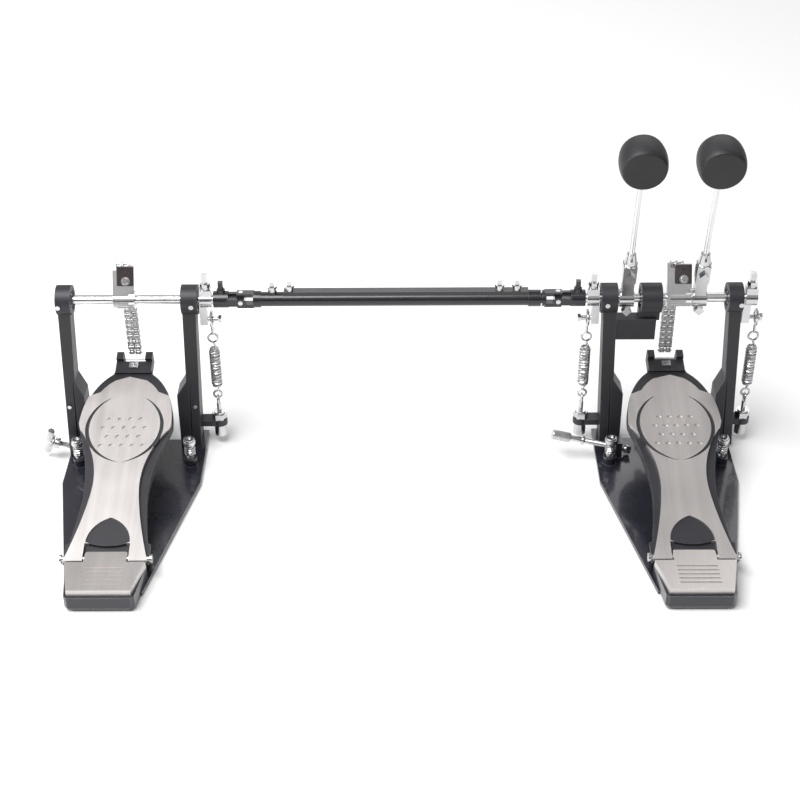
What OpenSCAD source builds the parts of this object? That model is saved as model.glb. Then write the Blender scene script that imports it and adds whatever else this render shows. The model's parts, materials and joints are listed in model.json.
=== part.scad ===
// Double bass drum pedal: a main unit with two beaters, a second unit,
// and a telescopic linkage that joins their axles. Millimetres, +Z up,
// X along the axles, -Y towards the drummer, +Y towards the drum.

/* [Units] */
// Distance from the middle of the pair to the middle plane of one unit
unit_x = 286; // [200:1:340]
// Height of the axles above the floor
axle_h = 183; // [150:1:220]
// Diameter of the axles
axle_d = 10; // [8:0.5:14]
// Diameter of a bearing housing
bearing_d = 31.5; // [26:0.5:40]

/* [Base] */
// Half the width of the base under the posts
base_half = 73.5; // [60:0.5:90]
// Half the width of the heel end
heel_half = 34; // [26:0.5:45]
// Distance from the axle to the front of the heel block
heel_reach = 279; // [240:1:320]
// Thickness of the base plate
plate_t = 4; // [3:0.5:8]
// Thickness of the rubber pad under the base plate
pad_t = 1.2; // [1:0.1:3]

/* [Footboard] */
// Distance from the axle to the hinge pin
hinge_reach = 226; // [200:1:250]
// Height of the hinge pin
hinge_h = 22; // [18:0.5:30]
// Slope of the footboard at rest, degrees
board_a = 14.5; // [10:0.5:20]
// Half the widest width of the footboard
head_half = 49.2; // [40:0.2:60]
// Half the width of the frame at its waist
waist_half = 32.4; // [26:0.2:40]
// Half the width at the hinge
hinge_half = 42; // [34:0.5:50]

/* [Drive] */
// Radius of the seat that the chain lies on
cam_r = 31; // [26:0.5:40]
// Radius of the middle of the chain
pitch_r = 36; // [30:0.5:45]

/* [Beaters] */
// Distance from the axle to the middle of a beater head
beater_l = 173; // [150:1:210]
// Lean of the beaters towards the drummer at rest, degrees
beater_a = 10; // [0:1:40]
// Widest diameter of a beater head
beater_d = 48; // [40:0.5:60]

/* [Hidden] */
bore_r = axle_d / 2 + 0.05;   // running bore of the bearings
seat_r = axle_d / 2 + 0.02;   // bore of what is fixed on an axle
board_x = 3;                  // footboard and chain from the middle of the base
cam_x = [8, -2];              // middle of the cam on the main and the second unit
brg_in = [-76.5, -59.4];      // bearing next to the linkage
brg_out = [55, 70.4];         // bearing on the far side
brg_mid = [-35, -13.5];       // bearing between the beater and the cam
hub_x = [-49.8, 25.5];        // middle of the beater hubs
spring_x = [-88.5, 88.5];     // spring planes
lever_r = 24;                 // spring lever
eye_z = 57;                   // eye of a spring rod
move_y = 116.8;               // puts the origin under the middle
base_top = pad_t + plate_t;
$fn = 48;

black = [0.13, 0.13, 0.15];
gloss = [0.10, 0.10, 0.13];
nickel = [0.72, 0.69, 0.68];
bright = [0.86, 0.86, 0.87];
dark = [0.20, 0.20, 0.21];

// ---------- places ----------
module main() translate([unit_x, move_y, 0]) children();
module slave()
  translate([-unit_x, move_y, 0]) mirror([1, 0, 0]) children();
module at_axle() translate([0, 0, axle_h]) children();
module in_board()
  translate([board_x, -hinge_reach, hinge_h]) rotate([board_a, 0, 0]) children();
module along_x(a, b, r) translate([a, 0, 0]) rotate([0, 90, 0])
  cylinder(r = r, h = b - a);
module ring_x(a, b, r, hole) difference() {
  along_x(a, b, r);
  along_x(a - 1, b + 1, hole);
}

// ---------- base ----------
module base_outline(in = 0) polygon([
  [-base_half + in, 14 - in], [-base_half + 27, 14 - in],
  [-base_half + 27, -4 - in], [base_half - 27, -4 - in],
  [base_half - 27, 14 - in], [base_half - in, 14 - in],
  [base_half - in, -82], [board_x + heel_half + 4 - in, -256 + in],
  [board_x - heel_half - 4 + in, -256 + in], [-base_half + in, -82]]);

module base_plate() difference() {
  translate([0, 0, pad_t]) linear_extrude(plate_t) base_outline();
  for (x = [-60, 60]) translate([x, -48, -1]) cylinder(r = 4.2, h = 12);
}

module base_pad() difference() {
  linear_extrude(pad_t) base_outline(3);
  for (x = [-60, 60]) translate([x, -48, -1]) cylinder(r = 7, h = 12);
}

module spur_bosses() for (x = [-60, 60]) translate([x, -48, base_top])
  difference() {
    cylinder(r = 7, h = 9);
    translate([0, 0, -1]) cylinder(r = 4.2, h = 12);
  }

// heel block: wide at the hinge, slanted sides, pocket for the base plate
module heel_block() translate([board_x, 0, 0]) difference() {
  hull() {
    translate([0, 0, 5]) linear_extrude(hinge_h - 9) polygon([
      [-40, -232], [40, -232], [heel_half, -heel_reach + 3],
      [heel_half - 3, -heel_reach], [-heel_half + 3, -heel_reach],
      [-heel_half, -heel_reach + 3]]);
    linear_extrude(5) polygon([
      [-38, -232], [38, -232], [heel_half - 4, -heel_reach + 5],
      [heel_half - 8, -heel_reach + 2], [-heel_half + 8, -heel_reach + 2],
      [-heel_half + 4, -heel_reach + 5]]);
  }
  translate([-60, -257, -1]) cube([120, 40, base_top + 1]);
  for (x = [-26, 26]) translate([x, -262, hinge_h - 9])
    cylinder(r = 2.2, h = 10);
}

// heel plate with its hinge tab between the footboard's prongs
tab_half = 21;
module heel_plate() translate([board_x, 0, 0]) difference() {
  union() {
    translate([0, 0, hinge_h - 4]) linear_extrude(7.5) polygon([
      [-40, -234], [-tab_half, -234], [-tab_half, 5 - hinge_reach],
      [1.5 - tab_half, 7 - hinge_reach], [tab_half - 1.5, 7 - hinge_reach],
      [tab_half, 5 - hinge_reach], [tab_half, -234], [40, -234],
      [31, -heel_reach + 3], [-31, -heel_reach + 3]]);
    translate([0, -hinge_reach, hinge_h]) along_x(-tab_half, tab_half, 6);
  }
  translate([0, -hinge_reach, hinge_h]) along_x(-60, 60, 3);
  translate([-60, -hinge_reach - 10, hinge_h + 3.5]) cube([120, 20, 10]);
  // ribs for grip across the heel
  for (y = [-268 : 6 : -244])
    translate([-20, y, hinge_h + 2.7]) cube([40, 2, 2]);
}

module hinge_pin() translate([board_x, -hinge_reach, hinge_h]) {
  along_x(-43.5, 43.5, 3);
  for (s = [-1, 1]) translate([s * 44.5, 0, 0]) along_x(-1, 1, 4.6);
}

// ---------- posts ----------
// outlines seen from the front: a column that widens to a flange low down
outer_post = [[56.5, axle_h], [69.6, axle_h], [77.5, 0], [54, 0], [54, 69], [62, 88]];
inner_post = [[60, axle_h], [74, axle_h], [67.5, 0], [46, 0], [46, 70], [57.2, 88]];
module post_blank(outline) intersection() {
  translate([0, 11, 0]) rotate([90, 0, 0]) linear_extrude(60) polygon(outline);
  rotate([90, 0, 90]) translate([0, 0, -20]) linear_extrude(140)
    polygon([[-9, axle_h], [9, axle_h], [11, 78], [14, 0], [-16, 0], [-13, 78]]);
}
// a groove down the front separates the column from its flange
module post_groove(x, lean) translate([x, -20, 0]) rotate([0, lean, 0])
  cube([1.6, 8.2, 86]);

// hole for the set screw of a housing
module post_holes(x) translate([x, -20, axle_h]) rotate([-90, 0, 0])
  cylinder(r = 2, h = 8.4);

module post_outer() difference() {
  union() {
    translate([0, 0, base_top]) intersection() {
      translate([0, 0, -base_top]) post_blank(outer_post);
      translate([0, -40, 0]) cube([120, 80, 300]);
    }
    at_axle() along_x(brg_out[0], brg_out[1], bearing_d / 2);
  }
  at_axle() along_x(brg_out[0] - 1, brg_out[1] + 1, 11);
  post_groove(67, -2.5);
  post_holes(screw_x[1]);
}

module spring_arm(x, dir) translate([x, 0, 0]) difference() {
  union() {
    translate([dir > 0 ? 0 : -22, -7, 25]) cube([22, 14, 7]);
    translate([0, 0, 25]) cylinder(r = 8, h = 7);
  }
  translate([0, 0, 20]) cylinder(r = 3.5, h = 20);
}

module post_inner(mid) difference() {
  union() {
    translate([0, 0, base_top]) intersection() {
      translate([0, 0, -base_top]) mirror([1, 0, 0]) post_blank(inner_post);
      translate([-120, -40, 0]) cube([120, 80, 300]);
    }
    at_axle() along_x(brg_in[0], brg_in[1], bearing_d / 2);
    if (mid) {
      at_axle() along_x(brg_mid[0], brg_mid[1], bearing_d / 2);
      translate([-62, -9, axle_h - 46]) cube([44.5, 14, 25]);
      translate([-36, -6, axle_h - 24]) cube([22, 12, 14]);
    }
  }
  at_axle() along_x(brg_in[0] - 1, brg_in[1] + 1, 11);
  if (mid) at_axle() along_x(brg_mid[0] - 1, brg_mid[1] + 1, 11);
  mirror([1, 0, 0]) post_groove(57, 2);
  post_holes(screw_x[0]);
}

module bearing(x) at_axle() difference() {
  union() {
    ring_x(x[0] + 0.6, x[1] - 0.6, 10.98, 9);
    ring_x(x[0] + 0.6, x[1] - 0.6, 7, bore_r);
    ring_x(x[0] + 1.4, x[1] - 1.4, 9.5, 6.5);
  }
}

// set screws in the front of the bearing housings; low adds two near the feet
screw_x = [-70.5, 67.6];
module post_screws(low) {
  for (x = screw_x) translate([x, 0, axle_h]) rotate([90, 0, 0]) {
    translate([0, 0, 11.8]) cylinder(r = 1.9, h = 5);
    translate([0, 0, bearing_d / 2 + 0.3]) cylinder(r = 2.5, h = 1.2);
  }
  if (low) for (x = [-65, 71]) translate([x, -13.95, 57]) rotate([90, 0, 0])
    cylinder(r = 2.1, h = 1.8);
}

// ---------- springs ----------
// threaded rod with an eye, its two nuts and the knurled adjuster below
module spring_rod(x) translate([x, 0, 0]) {
  translate([0, 0, 10]) cylinder(r = 2.3, h = 42.6);
  translate([0, 0, eye_z]) rotate([90, 0, 90])
    rotate_extrude() translate([4.6, 0]) circle(r = 1.2, $fn = 20);
  translate([0, 0, 32.1]) cylinder(r = 8, h = 7, $fn = 6);
  translate([0, 0, 39.1]) cylinder(r = 6, h = 2.5);
  translate([0, 0, 11]) cylinder(r = 6.6, h = 13.9);
}

coil_z0 = 71;
coil_z1 = 125;
module spring(x) translate([x, 0, 0]) {
  difference() {
    union() {
      for (i = [0 : 12]) translate([0, 0, coil_z0 + 2 + i * 4])
        rotate_extrude() translate([4.9, 0]) circle(r = 1.5, $fn = 16);
      translate([0, 0, coil_z0]) cylinder(r = 4.9, h = coil_z1 - coil_z0 - 1);
    }
    translate([0, 0, coil_z0 + 2]) cylinder(r = 3.8, h = 100);
  }
  translate([0, 0, coil_z0 - 3.5]) cylinder(r = 1.5, h = 5);
  translate([0, 0, eye_z + 6.4]) rotate([90, 0, 0])
    rotate_extrude() translate([4.4, 0]) circle(r = 1.2, $fn = 20);
}

// top ring of the spring and the stirrup that hangs from the lever pin
module stirrup(x) translate([x, 0, 0]) {
  translate([0, 0, 112]) cylinder(r = 3.2, h = 14);
  translate([0, 0, 126]) cylinder(r = 1.8, h = 4);
  translate([0, 0, 135.4]) rotate([90, 0, 0])
    rotate_extrude() translate([5, 0]) circle(r = 1.4, $fn = 20);
  translate([0, 0, 139.5]) cylinder(r = 1.6, h = 11);
  translate([0, 0, axle_h - lever_r]) rotate([0, 90, 0])
    rotate_extrude() translate([8, 0]) circle(r = 1.5, $fn = 20);
}

// clamp collar with its lever and pin; dir is the side that the pin points to
module lever(x, dir) at_axle() difference() {
  union() {
    along_x(x - 6, x + 6, 8.5);
    translate([x - 6, -6, 0]) cube([12, 12, 13]);
    translate([x - 3.5 * dir - 4, -5, -29]) cube([8, 10, 28]);
    translate([x, 0, -lever_r]) along_x(min(0, dir * 12), max(0, dir * 12), 2.5);
    translate([x + dir * 13, 0, -lever_r]) rotate([0, 90, 0])
      translate([0, 0, -1.5]) cylinder(r = 4.6, h = 3, $fn = 6);
    translate([x, 0, 13]) cylinder(r = 5, h = 2.5);
    translate([x, 0, 15.5]) cylinder(r = 5.4, h = 4, $fn = 6);
    translate([x, 0, 19]) cylinder(r = 2.4, h = 4);
    translate([x - 3, -3, 22]) cube([6, 6, 8]);
  }
  along_x(x - 10, x + 10, seat_r);
}

// ---------- footboard ----------
// half widths of the frame and of the plate, u along the board from the hinge
wide_u = 169;
function up_w(u, a, b, u0, u1, n) = a + (b - a) * pow((u - u0) / (u1 - u0), n);
function dome(u, half, mid, reach) = half * sqrt(max(0, 1 - pow((u - mid) / reach, 2)));
function frame_w(u, d) = -d + (u < 80 ? up_w(80 - u, waist_half, hinge_half, 0, 80, 1.5)
  : u < wide_u ? up_w(u, waist_half, head_half, 80, wide_u, 1.8)
  : max(19.4, dome(u, head_half, wide_u, 82)));
function plate_w(u, d) = -d + (u < 90 ? up_w(90 - u, 23.6, 41.4, 0, 95, 1.5)
  : u < wide_u - 2 ? up_w(u, 23.6, head_half - 0.6, 90, wide_u - 2, 2.1)
  : u < 213 ? dome(u, head_half - 0.6, wide_u, 82)
  : dome(u, 41, 172, 64));
module frame_shape(u0, u1, d) polygon(concat(
  [for (i = [0 : 40]) let (u = u0 + (u1 - u0) * i / 40) [frame_w(u, d), u]],
  [for (i = [40 : -1 : 0]) let (u = u0 + (u1 - u0) * i / 40) [-frame_w(u, d), u]]));
module plate_shape(u0, u1, d) polygon(concat(
  [for (i = [0 : 44]) let (u = u0 + (u1 - u0) * i / 44) [plate_w(u, d), u]],
  [for (i = [43 : -1 : 0]) let (u = u0 + (u1 - u0) * i / 44) [-plate_w(u, d), u]]));
// pointed arch with a bowed foot, the outline of the plate's window
module arch(grow) intersection() {
  translate([-26, 11]) square([52, 40]);
  translate([-14 - grow / 2, 17]) scale([1, 0.92]) circle(r = 36 + grow, $fn = 60);
  translate([14 + grow / 2, 17]) scale([1, 0.92]) circle(r = 36 + grow, $fn = 60);
  translate([0, 70]) circle(r = 57 + grow, $fn = 90);
}
// crescent beside the foot's ball: two arcs that meet in points
module crescent(s, grow) translate([s * -6.5, 165]) difference() {
  circle(r = 47.5 + grow, $fn = 80);
  translate([s * -6.2, 1]) circle(r = 49.8 - grow, $fn = 80);
  translate([s > 0 ? -60 : 12, -60]) square([48, 120]);
  translate([-60, 40]) square([120, 40]);
}

module board_frame() in_board() difference() {
  union() {
    // raised panel and crescents that show through the plate
    translate([0, 0, 0.1]) linear_extrude(3.2) arch(-0.3);
    for (s = [-1, 1]) translate([0, 0, 0.1]) linear_extrude(3.3) crescent(s, -0.3);
    difference() {
      translate([0, 0, -9]) linear_extrude(9.2) frame_shape(8, 249, 0);
      translate([0, 0, -10]) linear_extrude(7.5) frame_shape(16, 240, 3);
    }
    // neck and the two horns either side of the chain
    difference() {
      translate([-19.4, 243, -9]) cube([38.8, 27, 12]);
      translate([-11.7, 260, -20]) cube([23.4, 20, 40]);
    }
    for (s = [-1, 1]) translate([s * 15.6 - 3.8, 260, 2]) cube([7.6, 10, 5]);
    // hinge prongs: the lower halves of the barrels round the pin
    for (s = [-1, 1]) {
      translate([s * 32.6 - 9.4, 0, -6]) cube([18.8, 18, 6.2]);
      intersection() {
        translate([s * 32.6, 0, 0]) along_x(-9.4, 9.4, 6);
        translate([-60, -10, -10]) cube([120, 20, 10.2]);
      }
    }
  }
  along_x(-60, 60, 3.05);
}

module board_plate() in_board() difference() {
  translate([0, 0, 0.2]) linear_extrude(4.3) difference() {
    plate_shape(-5, 235.9, 0);
    translate([-tab_half - 1.6, -20]) square([2 * tab_half + 3.2, 36]);
    arch(0);
    for (s = [-1, 1]) crescent(s, 0);
  }
  along_x(-60, 60, 3.05);
  // round grip recesses
  for (r = [0 : 3], k = [0 : 4 - r % 2])
    translate([(k - (4 - r % 2) / 2) * 11, 140 + r * 12, 3.3])
      cylinder(r = 2.6, h = 4, $fn = 24);
}

// small plate on the toe and the pin that holds the end of the chain
module toe_clamp() in_board() {
  difference() {
    translate([-4.8, 249.5, 3.05]) cube([9.6, 7, 1.6]);
    translate([-2.6, 251.4, 4]) cube([5.2, 3.2, 2]);
  }
  translate([0, 265.5, -3.4]) along_x(-11.6, 11.6, 2.2);
}

// ---------- axle parts ----------
// behind this plane, which faces the drummer, lie the cam and the chain
module behind(d) rotate([-30, 0, 0]) translate([-20, d, -80])
  cube([60, 120, 160]);

// x is the middle of the anchor block and of the collar
module cam(x) at_axle() difference() {
  union() {
    translate([board_x, 0, 0]) intersection() {
      along_x(-8, 8, cam_r);
      behind(-9);
      translate([-20, -60, 0]) cube([60, 120, 60]);
    }
    // anchor block of the chain's end
    rotate([-30, 0, 0]) translate([x - 9, -9, 9]) cube([18, 5, 26]);
    rotate([-30, 0, 0]) translate([min(x, board_x) - 8, -6, 4])
      cube([16 + abs(x - board_x), 8, 20]);
    along_x(x - 9, x + 9, 9.5);
    translate([board_x, 0, 0]) along_x(-8, 8, 9.5);
    translate([x - 8.6, -9.2, -5]) rotate([-30, 0, 0]) cube([17.2, 8, 16]);
    intersection() {
      along_x(board_x - 11.4, board_x - 8, 36.5);
      behind(-8);
      translate([-20, -60, -6]) cube([60, 120, 60]);
    }
  }
  along_x(-30, 40, seat_r);
}

// links of the chain that lie on the cam
module wrap_links(a0, a1, step) for (a = [a0 : step : a1])
  rotate([-a, 0, 0]) translate([0, 0, pitch_r]) children();

module chain_wrap() at_axle() translate([board_x, 0, 0]) {
  intersection() {
    union() for (x = [-6.6, 0, 6.6])
      ring_x(x - 0.9, x + 0.9, pitch_r + 4, cam_r + 0.2);
    behind(-3.6);
    translate([-20, -60, 0]) cube([40, 120, 60]);
  }
  wrap_links(31, 83, 13) along_x(-7.2, 7.2, 2.45);
}

run_top = axle_h - 3;
run_low = 90;
module chain_run() translate([board_x, pitch_r, 0]) {
  for (x = [-6.6, 0, 6.6]) translate([x - 0.9, -3.2, run_low])
    cube([1.8, 6.4, run_top - run_low]);
  for (i = [0 : 9]) translate([0, 0, run_top - 5 - i * 8.9])
    along_x(-7.5, 7.5, 2.6);
}

// beater hub: collar, tower for the rod and a clamp screw below
tower_h = 59;
module hub(x) at_axle() difference() {
  union() {
    along_x(x - 7.5, x + 7.5, 9.5);
    rotate([beater_a, 0, 0]) translate([x, 0, 0]) {
      translate([-6, -6, 0]) cube([12, 12, 24]);
      translate([-7, -6.6, 24]) cube([14, 13.2, 21]);
      translate([0, 0, 44.9]) cylinder(r = 7.7, h = 1.9);
      translate([0, 0, 46.7]) cylinder(r1 = 6.8, r2 = 4.9, h = tower_h - 46.7);
      translate([0.6, -5, 34.5]) rotate([90, 0, 0]) cylinder(r = 4.8, h = 5.4, $fn = 4);
    }
    translate([x - 4.5, -7, -14]) cube([9, 9, 8]);
    translate([x, -5, -10.4]) rotate([90, 0, 0]) cylinder(r = 5.2, h = 6.6, $fn = 4);
  }
  along_x(x - 12, x + 12, seat_r);
  rotate([beater_a, 0, 0]) translate([x, 0, 6]) cylinder(r = 3.25, h = 60);
  // notch that lets the top of the tower close on the rod
  rotate([beater_a, 0, 0]) translate([x - 1.3, -9, tower_h - 7]) cube([2.6, 9, 9]);
}

module beater_rod(x) at_axle() rotate([beater_a, 0, 0])
  translate([x, 0, 20]) cylinder(r = 3.2, h = beater_l - 20);

module beater_head(x) at_axle() rotate([beater_a, 0, 0])
  translate([x, 0, beater_l]) difference() {
    rotate([90, 0, 0]) rotate_extrude() polygon([[0, -17], [19, -17],
      [21.5, -15.5], [23.4, -9], [beater_d / 2, -1], [beater_d / 2, 4],
      [23.2, 11], [21.8, 16], [20.8, 17], [0, 17]]);
    translate([0, 0, -40]) cylinder(r = 3.2, h = 40.01);
  }

module axle_outer() at_axle() difference() {
  along_x(-12.4, 86.5, axle_d / 2);
  along_x(-20, 8, 3.05);
}
// the linkage's axle ends in a spigot that carries the other axle
module axle_inner() at_axle() {
  along_x(-105, -13, axle_d / 2);
  along_x(-13, 6, 3);
}
module axle_second() at_axle() along_x(-105, 71.6, axle_d / 2);

// ---------- linkage ----------
// drawn outwards from the middle of a unit; the joint's middle is at joint_x
joint_x = 121;
rod_end = 2 * unit_x - joint_x;
module fork(x, turned) rotate([turned ? 90 : 0, 0, 0]) difference() {
  for (s = [-1, 1]) translate([x, s * 6.4 - 2.1, -4.2]) cube([18, 4.2, 8.4]);
  translate([x + 4, 0, 0]) rotate([90, 0, 0]) translate([0, 0, -12])
    cylinder(r = 2.45, h = 24);
}
module yoke() at_axle() {
  difference() {
    union() {
      along_x(92.5, 108, 8.8);
      translate([100.5, 0, 6]) cylinder(r = 4.4, h = 6);
      translate([100.5, 0, 12]) cylinder(r = 3, h = 3);
      translate([98, -2.5, 15]) cube([5, 5, 6]);
    }
    along_x(80, 106, seat_r);
  }
  translate([joint_x + 4, 0, 0]) mirror([1, 0, 0]) fork(0, false);
}
module cross_block() at_axle() translate([joint_x, 0, 0]) {
  rotate([90, 0, 0]) translate([0, 0, -8.8]) cylinder(r = 2.4, h = 17.6);
  translate([0, 0, -8.8]) cylinder(r = 2.4, h = 17.6);
  translate([-3.9, -3.9, -3.9]) cube([7.8, 7.8, 7.8]);
}
tube_a = 142;   // the outer tube, from the middle of the second unit
tube_b = 420;
module drive_tube() at_axle() {
  difference() {
    union() {
      along_x(tube_a, tube_b, 7.6);
      along_x(tube_a - 8, tube_a, 8.8);
      along_x(tube_b, tube_b + 13, 8.8);
      translate([tube_a + 24, -4.6, 5]) cube([tube_b - tube_a - 24, 9.2, 5.6]);
      translate([tube_a + 12, 0, 5]) cylinder(r = 4.6, h = 4.6);
    }
    along_x(tube_a + 30, tube_b + 20, 5.6);
  }
  translate([joint_x - 4, 0, 0]) fork(0, true);
}
module drive_rod() at_axle() {
  along_x(tube_a + 60, rod_end - 12, 5.5);
  along_x(rod_end - 16.5, rod_end - 13, 8.6);
  translate([rod_end + 4, 0, 0]) mirror([1, 0, 0]) fork(0, true);
}
module tube_screws() at_axle()
  for (x = [tube_a + 12, tube_a + 30, tube_b - 30, tube_b - 12])
    translate([x, 0, x < tube_a + 24 ? 9.6 : 10.6]) {
      cylinder(r = 4, h = 3.5);
      translate([0, 0, 3.5]) cylinder(r = 5, h = 2.4, $fn = 6);
      translate([-2.4, -2.4, 5.9]) cube([4.8, 4.8, 6]);
    }

// ---------- stays on the base ----------
module spur(x) translate([x, -48, 0]) {
  translate([0, 0, 1.5]) cylinder(r1 = 0.6, r2 = 3, h = 6);
  translate([0, 0, 7.5]) cylinder(r = 4.1, h = 7);
  translate([0, 0, 14.4]) cylinder(r = 3, h = 24);
  for (i = [0 : 3]) translate([0, 0, 17 + i * 4])
    rotate_extrude() translate([4.6, 0]) circle(r = 1.2, $fn = 16);
  translate([0, 0, 15.6]) cylinder(r = 4.4, h = 14);
  translate([0, 0, 31]) cylinder(r = 6.6, h = 5);
  translate([0, 0, 36]) cylinder(r1 = 6.6, r2 = 5.2, h = 1.6);
}

// anvil under the hoop, with two ears for the jaw's pin
module hoop_anvil() difference() {
  union() {
    translate([-22, -4, pad_t]) cube([44, 49.4, 9]);
    for (x = [-22, 15]) translate([x, -4, pad_t]) cube([7, 14, 26]);
  }
  translate([0, 3.4, 22]) along_x(-30, 30, 3.05);
}

// upper jaw: rocks on its pin and closes on the bass drum's hoop
module hoop_jaw() difference() {
  union() {
    translate([-14.6, -22, 24]) cube([29.2, 66, 5]);
    translate([-14.6, 34, 21]) cube([29.2, 10, 5]);
    translate([0, 3.4, 22]) along_x(-14.6, 14.6, 6);
    translate([0, 3.4, 22]) along_x(-23.5, 23.5, 3);
    for (s = [-1, 1]) translate([0, 3.4, 22])
      along_x(s * 23.5 - 1, s * 23.5 + 1, 5);
  }
  translate([-8, -20, 20]) cube([16, 8, 20]);
}

// side screw with its knurled grip, turned to close the jaw; its grip is higher
screw_lean = 14;
module in_jaw_screw() translate([-52, -34, 15]) rotate([0, screw_lean, 0]) children();
module hoop_screw() in_jaw_screw() {
  along_x(-52, 10, 3);
  along_x(-72, -52, 5.4);
  along_x(-39, -36.5, 5);
  along_x(10, 16, 4.5);
}
module screw_block() difference() {
  translate([-58, -40.5, base_top]) cube([12, 13, 19]);
  in_jaw_screw() along_x(-20, 9, 3.05);
}

// screw with a T grip on the far side of the second unit
side_lean = 16;
module in_side_screw() translate([66, -30, 14.5]) rotate([0, -side_lean, 0]) children();
module side_screw() in_side_screw() {
  along_x(-8, 26, 3);
  along_x(18, 24, 6);
  along_x(24, 26, 8);
  translate([29.7, 0, 0]) rotate([12, 0, 0])
    translate([0, 0, -16]) cylinder(r = 3.8, h = 34);
  along_x(25, 30, 3);
}
module side_block() difference() {
  translate([60, -36.5, base_top]) cube([12, 13, 19]);
  in_side_screw() along_x(-20, 20, 3.05);
}
module link() translate([-unit_x, move_y, 0]) children();

// ---------- nodes ----------
module n_pad_main() color(black) main() base_pad();
module n_base_main() color(gloss) main() { base_plate(); spur_bosses(); screw_block(); }
module n_heel_block_main() color(gloss) main() heel_block();
module n_heel_plate_main() color(nickel) main() heel_plate();
module n_hinge_pin_main() color(bright) main() hinge_pin();
module n_post_inner_main() color(black) main() { post_inner(true); spring_arm(spring_x[0], 1); }
module n_post_outer_main() color(black) main() { post_outer(); spring_arm(spring_x[1], -1); }
module n_bearings_main() color(dark) main() { bearing(brg_in); bearing(brg_mid); bearing(brg_out); }
module n_hardware_main()
  color(bright) main() { post_screws(false); spring_rod(spring_x[0]); spring_rod(spring_x[1]); }
module n_hoop_anvil() color(black) main() hoop_anvil();
module n_board_frame_main() color(black) main() board_frame();
module n_board_plate_main() color(nickel) main() board_plate();
module n_toe_clamp_main() color(bright) main() toe_clamp();
module n_axle_main() color(bright) main() axle_outer();
module n_cam_main() color(bright) main() cam(cam_x[0]);
module n_chain_wrap_main() color(bright) main() chain_wrap();
module n_clamps_main() color(bright) main() { lever(80, 1); hub(hub_x[1]); }
module n_chain_run_main() color(bright) main() chain_run();
module n_beater_rod_main() color(bright) main() beater_rod(hub_x[1]);
module n_beater_head_main() color(black) main() beater_head(hub_x[1]);
module n_axle_link() color(bright) main() axle_inner();
module n_clamps_link() color(bright) main() { lever(-84.5, -1); hub(hub_x[0]); }
module n_yoke_main() color(dark) main() mirror([1, 0, 0]) yoke();
module n_cross_main() color(bright) main() mirror([1, 0, 0]) cross_block();
module n_beater_rod_link() color(bright) main() beater_rod(hub_x[0]);
module n_beater_head_link() color(black) main() beater_head(hub_x[0]);
module n_spring_main() color(bright) main() spring(spring_x[1]);
module n_stirrup_main() color(bright) main() stirrup(spring_x[1]);
module n_spring_link() color(bright) main() spring(spring_x[0]);
module n_stirrup_link() color(bright) main() stirrup(spring_x[0]);
module n_hoop_jaw() color(black) main() hoop_jaw();
module n_hoop_screw() color(bright) main() hoop_screw();
module n_spur_main_in() color(bright) main() spur(-60);
module n_spur_main_out() color(bright) main() spur(60);
module n_pad_slave() color(black) slave() base_pad();
module n_base_slave() color(gloss) slave() { base_plate(); spur_bosses(); side_block(); }
module n_heel_block_slave() color(gloss) slave() heel_block();
module n_heel_plate_slave() color(nickel) slave() heel_plate();
module n_hinge_pin_slave() color(bright) slave() hinge_pin();
module n_post_inner_slave() color(black) slave() { post_inner(false); spring_arm(spring_x[0], 1); }
module n_post_outer_slave() color(black) slave() post_outer();
module n_bearings_slave() color(dark) slave() { bearing(brg_in); bearing(brg_out); }
module n_hardware_slave() color(bright) slave() { post_screws(true); spring_rod(spring_x[0]); }
module n_board_frame_slave() color(black) slave() board_frame();
module n_board_plate_slave() color(nickel) slave() board_plate();
module n_toe_clamp_slave() color(bright) slave() toe_clamp();
module n_axle_slave() color(bright) slave() axle_second();
module n_cam_slave() color(bright) slave() cam(cam_x[1]);
module n_chain_wrap_slave() color(bright) slave() chain_wrap();
module n_lever_slave() color(bright) slave() lever(-84.5, -1);
module n_chain_run_slave() color(bright) slave() chain_run();
module n_spring_slave() color(bright) slave() spring(spring_x[0]);
module n_stirrup_slave() color(bright) slave() stirrup(spring_x[0]);
module n_yoke_slave() color(dark) slave() mirror([1, 0, 0]) yoke();
module n_side_screw() color(bright) slave() side_screw();
module n_spur_slave_in() color(bright) slave() spur(-60);
module n_spur_slave_out() color(bright) slave() spur(60);
module n_drive_tube() color(black) link() drive_tube();
module n_drive_rod() color(black) link() drive_rod();
module n_tube_screws() color(bright) link() { tube_screws(); cross_block(); }

n_pad_main();  // pad_main
n_base_main();  // base_main
n_heel_block_main();  // heel_block_main
n_heel_plate_main();  // heel_plate_main
n_hinge_pin_main();  // hinge_pin_main
n_post_inner_main();  // post_inner_main
n_post_outer_main();  // post_outer_main
n_bearings_main();  // bearings_main
n_hardware_main();  // hardware_main
n_hoop_anvil();  // hoop_anvil
n_board_frame_main();  // board_frame_main
n_board_plate_main();  // board_plate_main
n_toe_clamp_main();  // toe_clamp_main
n_axle_main();  // axle_main
n_cam_main();  // cam_main
n_chain_wrap_main();  // chain_wrap_main
n_clamps_main();  // clamps_main
n_chain_run_main();  // chain_run_main
n_beater_rod_main();  // beater_rod_main
n_beater_head_main();  // beater_head_main
n_axle_link();  // axle_link
n_clamps_link();  // clamps_link
n_yoke_main();  // yoke_main
n_cross_main();  // cross_main
n_beater_rod_link();  // beater_rod_link
n_beater_head_link();  // beater_head_link
n_spring_main();  // spring_main
n_stirrup_main();  // stirrup_main
n_spring_link();  // spring_link
n_stirrup_link();  // stirrup_link
n_hoop_jaw();  // hoop_jaw
n_hoop_screw();  // hoop_screw
n_spur_main_in();  // spur_main_in
n_spur_main_out();  // spur_main_out
n_pad_slave();  // pad_slave
n_base_slave();  // base_slave
n_heel_block_slave();  // heel_block_slave
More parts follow.
